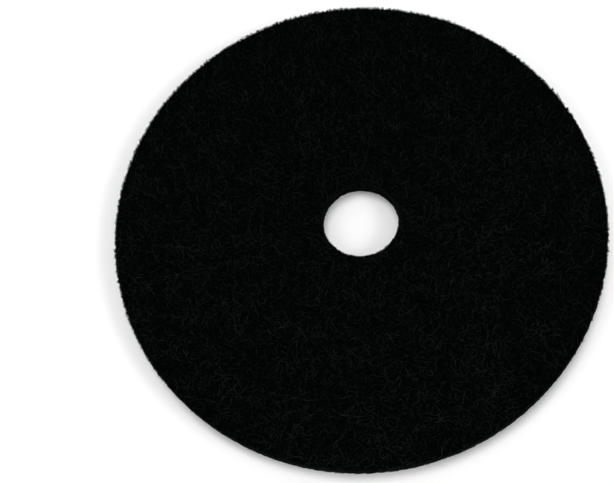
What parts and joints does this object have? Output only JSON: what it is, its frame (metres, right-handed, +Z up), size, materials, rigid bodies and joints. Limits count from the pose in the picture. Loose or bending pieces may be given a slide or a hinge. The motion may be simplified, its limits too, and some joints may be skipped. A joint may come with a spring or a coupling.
{
  "type": "floor polishing pad",
  "caption": "Flat round disc of thick black non-woven fibre web with a round centre hole, for a rotary floor machine.",
  "frame": {"origin": "centre of the face that the pad lies on, on the axis of the disc and of its centre hole", "axes": "+Z up, along the axis of the disc; the pad is round, so X and Y are any two directions across it"},
  "size_m": [0.533, 0.533, 0.022],
  "materials": {
    "web": "matt open web of crimped nylon fibres bound with black resin and grit"
  },
  "bodies": {
    "root": {"pad": "web"}
  },
  "joints": []
}
